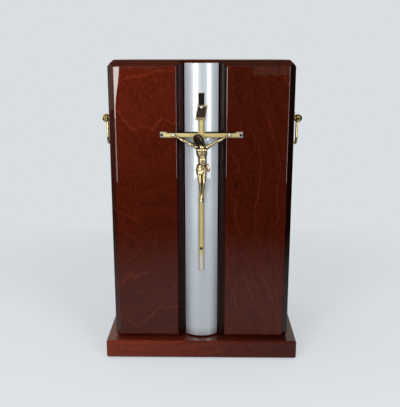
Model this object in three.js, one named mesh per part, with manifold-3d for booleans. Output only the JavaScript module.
// A lacquered mahogany reliquary box on a plinth, with a half-round silver column let into its
// front, a brass crucifix pinned to the column and a brass drop handle on each side.
// Millimetres, +Z up, front towards -Y. The origin is on the resting surface, under the middle.
import * as THREE from "three";
import { mergeVertices } from "three/addons/utils/BufferGeometryUtils.js";
import Module from "manifold-3d";

const wasm = await Module();
wasm.setup();

// ---------------------------------------------------------------- driving dimensions
const BODY = { width: 191, depth: 152, height: 300 };
const CHAMFER = 6.5; // 45 degree chamfer on every outer arris of the body, foot excepted
const FOOT_BEVEL = 3; // smaller bevel round the foot of the body
const WALL = 12; // side, back and top boards
const FACING = 14; // the two raised panels on the front
const FRONT_WALL = 9; // the wall behind the facings and the column
const CHANNEL_HALF = 19; // half the width of the channel between the facings

const PLINTH = { overSide: 8.75, overFront: 10.5, height: 20, arris: 1.5 };
const PAD = { radius: 9, height: 1.5, inset: 14 };

const COLUMN = { halfWidth: 17.25, radius: 25, below: 1.5, above: 3.1 };

const BLOCK = { side: 20, height: 36 }; // glue blocks in the lower corners
const SCREW = { shank: 2, head: 3.9, headHeight: 3, length: 40, sink: 5 };
const SCREW_CLEARANCE = 0.4;

const CROSS = { width: 5.7, thickness: 2.5, bevel: 1.2, foot: 79, top: 268 };
const CROSSBAR = { half: 42.4, height: 6, middle: 225.2 };
const FIT = 0.3; // gap between pieces that touch once they are pinned together
const PIN = { shank: 0.7, head: 1.4, headHeight: 0.9, intoWood: 8 };
const SCROLL = { width: 11, height: 12.6, thickness: 1.4, middle: 248.2, roll: 1.3, shift: 1 };

const HAND = { x: 28.6, z: 225.4 };
const FEET_NAIL_Z = 156.8;
const END_PIN_X = 40.2;
const FOOT_PIN_Z = 104.2;
const SCROLL_PIN_Z = 253.4;

const HANDLE = { height: 237.5, spacing: 56, standOff: 9.5 };
const ROSETTE = { radius: 6, height: 2 };
const POST = { ball: 4.6, neck: 2.2, stud: 2, studLength: 9, bore: 1.85 };
const BAIL = { rod: 1.5, drop: 29.5, armInset: 7.5, topBend: 3.5, lowBend: 8, pin: 3 };

const frontY = -BODY.depth / 2;
const backY = BODY.depth / 2;
const facingBackY = frontY + FACING;
const innerFrontY = facingBackY + FRONT_WALL;
const innerBackY = backY - WALL;
const innerX = BODY.width / 2 - WALL;
const innerTopZ = BODY.height - WALL;
const bodyZ = PAD.height + PLINTH.height;
const barBackY = frontY - FIT;
const barFrontY = barBackY - CROSS.thickness;

// ---------------------------------------------------------------- finishes
const finish = (color, roughness, metalness) =>
  new THREE.MeshStandardMaterial({ color, roughness, metalness });
const mahogany = finish(0x5a1d12, 0.25, 0);
const bareWood = finish(0xa9825a, 0.7, 0);
const silver = finish(0xc3ccd6, 0.3, 0.2);
const brass = finish(0xcdb46c, 0.22, 1);
const antique = finish(0x8d7a4c, 0.4, 1);
const nickel = finish(0xdbd8d0, 0.2, 1);
const steel = finish(0x8f9296, 0.35, 1);
const felt = finish(0x2c1a16, 0.95, 0);

// ---------------------------------------------------------------- solid helpers
function solid(geometry) {
  const bare = geometry.clone();
  bare.deleteAttribute("normal");
  bare.deleteAttribute("uv");
  const merged = mergeVertices(bare, 1e-3);
  return new wasm.Manifold(
    new wasm.Mesh({
      numProp: 3,
      vertProperties: new Float32Array(merged.attributes.position.array),
      triVerts: new Uint32Array(merged.index.array),
    }),
  );
}

function geometryOf(manifold) {
  const mesh = manifold.getMesh();
  const geometry = new THREE.BufferGeometry();
  geometry.setAttribute("position", new THREE.BufferAttribute(mesh.vertProperties, 3));
  geometry.setIndex(new THREE.BufferAttribute(mesh.triVerts, 1));
  geometry.computeVertexNormals();
  return geometry;
}

function cut(geometry, ...tools) {
  let made = solid(geometry);
  for (const tool of tools) made = made.subtract(solid(tool));
  return geometryOf(made);
}

function join(...geometries) {
  let made = solid(geometries[0]);
  for (const other of geometries.slice(1)) made = made.add(solid(other));
  return geometryOf(made);
}

// A box between two corners.
function boxBetween([x0, y0, z0], [x1, y1, z1]) {
  const geometry = new THREE.BoxGeometry(x1 - x0, y1 - y0, z1 - z0);
  return geometry.translate((x0 + x1) / 2, (y0 + y1) / 2, (z0 + z1) / 2);
}

// An outline of [x, y] points pushed up +Z from low to high.
function prism(points, low, high) {
  const shape = new THREE.Shape(points.map(([x, y]) => new THREE.Vector2(x, y)));
  const geometry = new THREE.ExtrudeGeometry(shape, { depth: high - low, bevelEnabled: false });
  return geometry.translate(0, 0, low);
}

// The same outline read as [x, z] and pushed along Y.
const prismAlongY = (points, near, far) => prism(points, -far, -near).rotateX(Math.PI / 2);

// The same outline read as [y, z] and pushed along X.
const prismAlongX = (points, near, far) =>
  prism(points, near, far).rotateY(Math.PI / 2).rotateX(Math.PI / 2);

// A rectangle round x = 0 with its lower and upper corners cut at 45 degrees. over moves its
// sides out and leaves the cuts where they are, so that the prism only trims corners.
function chamferedRectangle(halfWidth, low, high, lowCut, highCut, over = 0) {
  const right = [
    [halfWidth - lowCut - over, low - over],
    [halfWidth + over, low + lowCut + over],
    [halfWidth + over, high - highCut - over],
    [halfWidth - highCut - over, high + over],
  ];
  const left = right.map(([x, y]) => [-x, y]).reverse();
  return [...right, ...left];
}

// A plan pushed up to a height, with its top and bottom arrises cut at 45 degrees.
function trimmed(plan, halfX, halfY, height, lowCut, highCut) {
  const over = highCut;
  const across = chamferedRectangle(halfX, 0, height, lowCut, highCut, over);
  const along = chamferedRectangle(halfY, 0, height, lowCut, highCut, over);
  return solid(prism(plan, 0, height))
    .intersect(solid(prismAlongY(across, -halfY - over, halfY + over)))
    .intersect(solid(prismAlongX(along, -halfX - over, halfX + over)));
}

// A cylinder along Z from low to high.
function rod(radius, low, high, sides = 16) {
  const geometry = new THREE.CylinderGeometry(radius, radius, high - low, sides);
  return geometry.rotateX(Math.PI / 2).translate(0, 0, (low + high) / 2);
}

// A profile of [radius, height] points turned about Z. It starts and ends on the axis.
function turned(profile, sides = 16) {
  const points = profile.map(([r, z]) => new THREE.Vector2(r, z));
  return new THREE.LatheGeometry(points, sides).rotateX(Math.PI / 2);
}

function piece(parent, name, geometry, material) {
  const mesh = new THREE.Mesh(geometry, material);
  mesh.name = name;
  parent.add(mesh);
  return mesh;
}

// ---------------------------------------------------------------- plinth, pads and screws
const root = new THREE.Group();
const plinthHalfX = BODY.width / 2 + PLINTH.overSide;
const plinthHalfY = BODY.depth / 2 + PLINTH.overFront;
const screwX = innerX - BLOCK.side / 2;
const screwYs = [innerFrontY + BLOCK.side / 2, innerBackY - BLOCK.side / 2];
const corners = [
  ["front_left", -1, 0],
  ["front_right", 1, 0],
  ["back_left", -1, 1],
  ["back_right", 1, 1],
];

function plinthGeometry() {
  const { height, arris } = PLINTH;
  const plan = chamferedRectangle(plinthHalfX, -plinthHalfY, plinthHalfY, arris, arris);
  const made = trimmed(plan, plinthHalfX, plinthHalfY, height, arris, arris);
  const holes = corners.flatMap(([, side, row]) => [
    rod(SCREW.shank + SCREW_CLEARANCE, -1, height + 1).translate(side * screwX, screwYs[row], 0),
    rod(SCREW.head + SCREW_CLEARANCE, -1, SCREW.sink).translate(side * screwX, screwYs[row], 0),
  ]);
  return cut(geometryOf(made), ...holes);
}

// A pan-head wood screw, point up, with a cross recess in its head.
function screwGeometry() {
  const { shank, head, headHeight, length } = SCREW;
  const core = turned([
    [0, 0],
    [head * 0.72, 0],
    [head, headHeight * 0.45],
    [head, headHeight],
    [shank, headHeight],
    [shank, length - 4],
    [0, length],
  ]);
  const slotHalf = 0.5;
  const slotReach = 2.1;
  const slotDepth = 1.4;
  return cut(
    core,
    boxBetween([-slotReach, -slotHalf, -1], [slotReach, slotHalf, slotDepth]),
    boxBetween([-slotHalf, -slotReach, -1], [slotHalf, slotReach, slotDepth]),
  );
}

const plinthGroup = new THREE.Group();
plinthGroup.position.z = PAD.height;
root.add(plinthGroup);
piece(plinthGroup, "base_plinth", plinthGeometry(), mahogany);

for (const [corner, side, row] of corners) {
  const pad = piece(root, `felt_pad_${corner}`, rod(PAD.radius, 0, PAD.height, 24), felt);
  pad.position.x = side * (plinthHalfX - PAD.inset);
  pad.position.y = (row ? 1 : -1) * (plinthHalfY - PAD.inset);
  const screw = piece(plinthGroup, `plinth_screw_${corner}`, screwGeometry(), steel);
  screw.position.set(side * screwX, screwYs[row], SCREW.sink - SCREW.headHeight - FIT);
}

// ---------------------------------------------------------------- boards of the box
const box = new THREE.Group();
box.position.z = bodyZ;
root.add(box);

// The outside of the whole body, chamfered all round.
const bodyPlan = chamferedRectangle(BODY.width / 2, frontY, backY, CHAMFER, CHAMFER);
const envelope = trimmed(bodyPlan, BODY.width / 2, backY, BODY.height, FOOT_BEVEL, CHAMFER);
const outside = BODY.height; // far enough to be outside the envelope on any side

function board(low, high, ...tools) {
  return cut(geometryOf(envelope.intersect(solid(boxBetween(low, high)))), ...tools);
}

const pinHole = (x, z) =>
  rod(PIN.shank + FIT, -PIN.intoWood - FIT, outside, 10)
    .rotateX(Math.PI / 2)
    .translate(x, frontY, z);

function sideBoard(side) {
  const bores = [-1, 1].map((end) =>
    rod(POST.stud + FIT, -POST.studLength - FIT, outside, 16)
      .rotateY((side * Math.PI) / 2)
      .translate((side * BODY.width) / 2, (end * HANDLE.spacing) / 2, HANDLE.height),
  );
  const [low, high] = side < 0 ? [-outside, -innerX] : [innerX, outside];
  return board([low, facingBackY, -1], [high, innerBackY, innerTopZ], ...bores);
}

const endPinHoles = [-1, 1].map((side) => pinHole(side * END_PIN_X, CROSSBAR.middle));
const nailHoles = [-1, 1].map((side) => pinHole(side * HAND.x, HAND.z));
const panelHoles = [...endPinHoles, ...nailHoles];

// One of the two raised panels, chamfered along the channel that holds the column.
function facing(side) {
  const plan = [
    [CHANNEL_HALF, facingBackY],
    [CHANNEL_HALF, frontY + CHAMFER],
    [CHANNEL_HALF + 2 * CHAMFER, frontY - CHAMFER],
    [outside, frontY - CHAMFER],
    [outside, facingBackY],
  ].map(([x, y]) => [side * x, y]);
  const made = envelope.intersect(solid(prism(plan, -1, BODY.height + 1)));
  return cut(geometryOf(made), ...panelHoles);
}
piece(box, "front_left_panel", facing(-1), mahogany);
piece(box, "front_right_panel", facing(1), mahogany);

const frontWall = board([-innerX, facingBackY, -1], [innerX, innerFrontY, innerTopZ]);
piece(box, "front_wall", frontWall, mahogany);
piece(box, "left_side_panel", sideBoard(-1), mahogany);
piece(box, "right_side_panel", sideBoard(1), mahogany);

const backPanel = board([-outside, innerBackY, -1], [outside, outside, innerTopZ]);
piece(box, "back_panel", backPanel, mahogany);

const topPanel = board([-outside, facingBackY, innerTopZ], [outside, outside, outside + 1]);
piece(box, "top_panel", topPanel, mahogany);

// Glue blocks that the plinth's screws run up into.
const screwTip = SCREW.sink - SCREW.headHeight - FIT + SCREW.length - PLINTH.height;
for (const [corner, side, row] of corners) {
  const half = BLOCK.side / 2;
  const cube = boxBetween([-half, -half, 0], [half, half, BLOCK.height]);
  const pilot = rod(SCREW.shank + SCREW_CLEARANCE, -1, screwTip + 2);
  const block = piece(box, `corner_block_${corner}`, cut(cube, pilot), bareWood);
  block.position.set(side * screwX, screwYs[row], 0);
}

// ---------------------------------------------------------------- column
function columnGeometry() {
  const { halfWidth, radius, below, above } = COLUMN;
  const centreY = frontY + radius;
  const reach = Math.asin(halfWidth / radius);
  const arcSteps = 24;
  const outline = [[-halfWidth, facingBackY]];
  for (let i = 0; i <= arcSteps; i++) {
    const angle = -reach + (2 * reach * i) / arcSteps;
    outline.push([radius * Math.sin(angle), centreY - radius * Math.cos(angle)]);
  }
  outline.push([halfWidth, facingBackY]);
  const holes = [SCROLL_PIN_Z, FEET_NAIL_Z, FOOT_PIN_Z].map((z) => pinHole(0, z));
  return cut(prism(outline, below, BODY.height - above), ...holes);
}
piece(box, "column", columnGeometry(), silver);

// ---------------------------------------------------------------- cross
// A flat bar along Z with its long front edges and both ends bevelled, its back at barBackY.
function barGeometry(halfWidth, low, high) {
  const { thickness, bevel } = CROSS;
  const section = [
    [-halfWidth, 0],
    [halfWidth, 0],
    [halfWidth, -thickness + bevel],
    [halfWidth - bevel, -thickness],
    [-halfWidth + bevel, -thickness],
    [-halfWidth, -thickness + bevel],
  ].reverse();
  const profile = [
    [0, low],
    [0, high],
    [-thickness + bevel, high],
    [-thickness, high - bevel],
    [-thickness, low + bevel],
    [-thickness + bevel, low],
  ];
  const made = solid(prism(section, low, high)).intersect(
    solid(prismAlongX(profile, -halfWidth, halfWidth)),
  );
  return geometryOf(made).translate(0, barBackY, 0);
}

// The two bars cross in a half lap: the upright keeps its front half, the crossbar its back half.
const lapY = barBackY - CROSS.thickness / 2;
const uprightHalf = CROSS.width / 2;
const crossbarHalf = CROSSBAR.height / 2;
const lapBehind = boxBetween(
  [-outside, lapY - FIT / 2, CROSSBAR.middle - crossbarHalf - FIT],
  [outside, outside, CROSSBAR.middle + crossbarHalf + FIT],
);
const lapInFront = boxBetween(
  [-uprightHalf - FIT, -outside, 0],
  [uprightHalf + FIT, lapY + FIT / 2, BODY.height],
);
const upright = cut(
  barGeometry(uprightHalf, CROSS.foot, CROSS.top),
  lapBehind,
  pinHole(0, SCROLL_PIN_Z),
  pinHole(0, FEET_NAIL_Z),
  pinHole(0, FOOT_PIN_Z),
);
piece(box, "cross_upright", upright, brass);

const crossbarFlat = barGeometry(crossbarHalf, -CROSSBAR.half, CROSSBAR.half)
  .rotateY(Math.PI / 2)
  .translate(0, 0, CROSSBAR.middle);
piece(box, "cross_crossbar", cut(crossbarFlat, lapInFront, ...panelHoles), brass);

// ---------------------------------------------------------------- title scroll
// A small plate whose upper right and lower left corners roll forward.
function scrollGeometry() {
  const { width, height, thickness, roll, shift } = SCROLL;
  const plate = boxBetween([-width / 2, -thickness, -height / 2], [width / 2, 0, height / 2]);
  const rollAcross = (x0, x1, z) =>
    rod(roll, x0, x1, 12).rotateY(Math.PI / 2).translate(0, -thickness, z);
  const made = join(
    plate,
    rollAcross(shift - width / 2, shift + width / 2, height / 2),
    rollAcross(-shift - width / 2, -shift + width / 2, -height / 2),
  );
  const hole = pinHole(0, SCROLL_PIN_Z - SCROLL.middle).translate(0, -frontY, 0);
  return cut(made, hole);
}
const scroll = piece(box, "title_scroll", scrollGeometry(), antique);
scroll.position.set(0, barFrontY - FIT, SCROLL.middle);

// ---------------------------------------------------------------- corpus
// One limb: a tapered capsule between two points, flattened front to back.
function limb(from, to, r0, r1, flatten) {
  const a = new THREE.Vector3(...from);
  const b = new THREE.Vector3(...to);
  const length = a.distanceTo(b);
  const profile = [[0, -r0]];
  const capSteps = 2;
  for (let i = 1; i <= capSteps; i++) {
    const angle = (Math.PI / 2) * (1 - i / capSteps);
    profile.push([r0 * Math.cos(angle), -r0 * Math.sin(angle)]);
  }
  for (let i = 0; i < capSteps; i++) {
    const angle = ((Math.PI / 2) * i) / capSteps;
    profile.push([r1 * Math.cos(angle), length + r1 * Math.sin(angle)]);
  }
  profile.push([0, length + r1]);
  const geometry = turned(profile, 8);
  const up = new THREE.Vector3(0, 0, 1);
  const turn = new THREE.Quaternion().setFromUnitVectors(up, b.clone().sub(a).normalize());
  geometry.applyQuaternion(turn).scale(1, flatten, 1);
  return geometry.translate(a.x, a.y, a.z);
}

// The figure stands in front of the upright. y is measured forward from the bars' front face.
function corpusGeometry() {
  const torso = [
    limb([0.4, -3.5, 211.5], [0.7, -3.3, 203.5], 5.9, 4.7, 0.6),
    limb([0.7, -3.3, 203.5], [0.7, -3.2, 197], 4.7, 4.1, 0.66),
    limb([0.3, -3.2, 193], [0.4, -3.3, 187], 5.6, 6, 0.6),
    limb([6.4, -3, 194], [7.4, -3, 189], 1.4, 1.5, 1),
  ];
  const head = [
    limb([0.5, -3.3, 212.8], [-3.2, -3.8, 219.5], 2.2, 2.8, 0.85),
    limb([-3, -3.5, 218], [-4.2, -3.5, 222.8], 4.2, 4.6, 0.75),
    limb([-6.8, -3.2, 221], [-6.2, -2.8, 215], 2, 1.5, 0.8),
    limb([-1, -2.8, 221.5], [4, -2.8, 214.4], 2.6, 1.6, 0.8),
  ];
  const arms = [-1, 1].flatMap((side) => [
    limb([side * 5 + 0.2, -3.2, 213.4], [side * 15.6, -2.6, 219], 2.4, 1.8, 0.9),
    limb([side * 15.6, -2.6, 219], [side * 26, -1.7, 224.6], 1.8, 1.25, 0.9),
    limb([side * 26, -1.5, 224.7], [side * 29.6, -1.4, 225.6], 1.35, 1.3, 0.8),
  ]);
  const legs = [-1, 1].flatMap((side) => [
    limb([side * 2.6 + 0.4, -3.2, 187], [side * 1.9 + 0.5, -4.4, 175], 3.1, 2.2, 0.85),
    limb([side * 1.9 + 0.5, -4.4, 175], [side * 1.3, -2.6, 163.5], 2.2, 1.5, 0.85),
  ]);
  const feet = [limb([-0.6, -2.4, 163.5], [-0.4, -2.6, 155.8], 1.8, 1.5, 0.8)];
  const figure = join(...torso, ...head, ...arms, ...legs, ...feet);
  figure.translate(0, barFrontY, 0);
  const holes = [pinHole(-HAND.x, HAND.z), pinHole(HAND.x, HAND.z), pinHole(0, FEET_NAIL_Z)];
  const behind = boxBetween(
    [-outside, barFrontY - FIT, 0],
    [outside, outside, BODY.height],
  );
  return cut(figure, ...holes, behind);
}
piece(box, "corpus", corpusGeometry(), antique);

// ---------------------------------------------------------------- pins and nails
// A round-headed pin along +Y with the underside of its head at y = 0.
function pinGeometry(length) {
  const { shank, head, headHeight } = PIN;
  const profile = [
    [0, -headHeight],
    [head * 0.6, -headHeight * 0.85],
    [head, -headHeight * 0.3],
    [head, 0],
    [shank, 0],
    [shank, length - 1],
    [0, length],
  ];
  return turned(profile, 10).rotateX(-Math.PI / 2);
}

function pin(name, x, z, headY, material) {
  const length = frontY + PIN.intoWood - headY;
  const made = piece(box, name, pinGeometry(length), material);
  made.position.set(x, headY, z);
}

const onBarY = barFrontY - FIT;
const onHandY = barFrontY - 3.2;
const onFeetY = barFrontY - 4.2;
const onScrollY = onBarY - SCROLL.thickness - SCROLL.roll - FIT;
pin("crossbar_pin_left", -END_PIN_X, CROSSBAR.middle, onBarY, antique);
pin("crossbar_pin_right", END_PIN_X, CROSSBAR.middle, onBarY, antique);
pin("upright_pin", 0, FOOT_PIN_Z, onBarY, antique);
pin("hand_nail_left", -HAND.x, HAND.z, onHandY, nickel);
pin("hand_nail_right", HAND.x, HAND.z, onHandY, nickel);
pin("feet_nail", 0, FEET_NAIL_Z, onFeetY, nickel);
pin("title_pin", 0, SCROLL_PIN_Z, onScrollY, nickel);

// ---------------------------------------------------------------- drop handles
// Built for the right side with +X outwards, the origin on the side face between the posts.
function rosetteGeometry() {
  const { radius, height } = ROSETTE;
  const plate = turned(
    [
      [0, 0],
      [radius, 0],
      [radius, height * 0.4],
      [radius * 0.8, height],
      [0, height],
    ],
    24,
  );
  return cut(plate, rod(POST.neck + FIT, -1, height + 1)).rotateY(Math.PI / 2);
}

function postGeometry() {
  const { ball, neck, stud, studLength, bore } = POST;
  const { standOff } = HANDLE;
  const waist = Math.sqrt(ball * ball - neck * neck);
  const profile = [
    [0, -studLength],
    [stud, -studLength + 1],
    [stud, 0],
    [neck, 0],
    [neck, standOff - waist],
  ];
  const ballSteps = 9;
  const start = Math.atan2(-waist, neck);
  for (let i = 1; i < ballSteps; i++) {
    const angle = start + ((Math.PI / 2 - start) * i) / ballSteps;
    profile.push([ball * Math.cos(angle), standOff + ball * Math.sin(angle)]);
  }
  profile.push([0, standOff + ball]);
  const eye = rod(bore, -ball - 1, ball + 1).rotateX(Math.PI / 2).translate(standOff, 0, 0);
  return cut(turned(profile, 16).rotateY(Math.PI / 2), eye);
}

// The bail hangs in the plane of the two eyes: pin, arm, bar, arm, pin.
function bailGeometry() {
  const { rod: radius, drop, armInset, topBend, lowBend, pin: pinReach } = BAIL;
  const eyeY = HANDLE.spacing / 2;
  const armY = eyeY - armInset;
  const at = (y, z) => new THREE.Vector3(0, y, z);
  const path = new THREE.CurvePath();
  const line = (a, b) => path.add(new THREE.LineCurve3(a, b));
  const bend = (a, corner, b) => path.add(new THREE.QuadraticBezierCurve3(a, corner, b));
  line(at(-eyeY - pinReach, 0), at(-armY - topBend, 0));
  bend(at(-armY - topBend, 0), at(-armY, 0), at(-armY, -topBend));
  line(at(-armY, -topBend), at(-armY, -drop + lowBend));
  bend(at(-armY, -drop + lowBend), at(-armY, -drop), at(-armY + lowBend, -drop));
  line(at(-armY + lowBend, -drop), at(armY - lowBend, -drop));
  bend(at(armY - lowBend, -drop), at(armY, -drop), at(armY, -drop + lowBend));
  line(at(armY, -drop + lowBend), at(armY, -topBend));
  bend(at(armY, -topBend), at(armY, 0), at(armY + topBend, 0));
  line(at(armY + topBend, 0), at(eyeY + pinReach, 0));
  const section = new THREE.Shape().absarc(0, 0, radius, 0, 2 * Math.PI);
  return new THREE.ExtrudeGeometry(section, {
    steps: 64,
    curveSegments: 5,
    bevelEnabled: false,
    extrudePath: path,
  });
}

for (const [name, turn] of [["right", 0], ["left", Math.PI]]) {
  const handle = new THREE.Group();
  handle.rotation.z = turn;
  handle.position.set((Math.cos(turn) * BODY.width) / 2, 0, HANDLE.height);
  box.add(handle);
  for (const [end, sign] of [["front", -1], ["back", 1]]) {
    const y = (sign * Math.cos(turn) * HANDLE.spacing) / 2;
    piece(handle, `${name}_rosette_${end}`, rosetteGeometry(), brass).position.y = y;
    piece(handle, `${name}_handle_post_${end}`, postGeometry(), brass).position.y = y;
  }
  const bail = piece(handle, `${name}_bail`, bailGeometry(), brass);
  bail.position.x = HANDLE.standOff;
}

export default root;
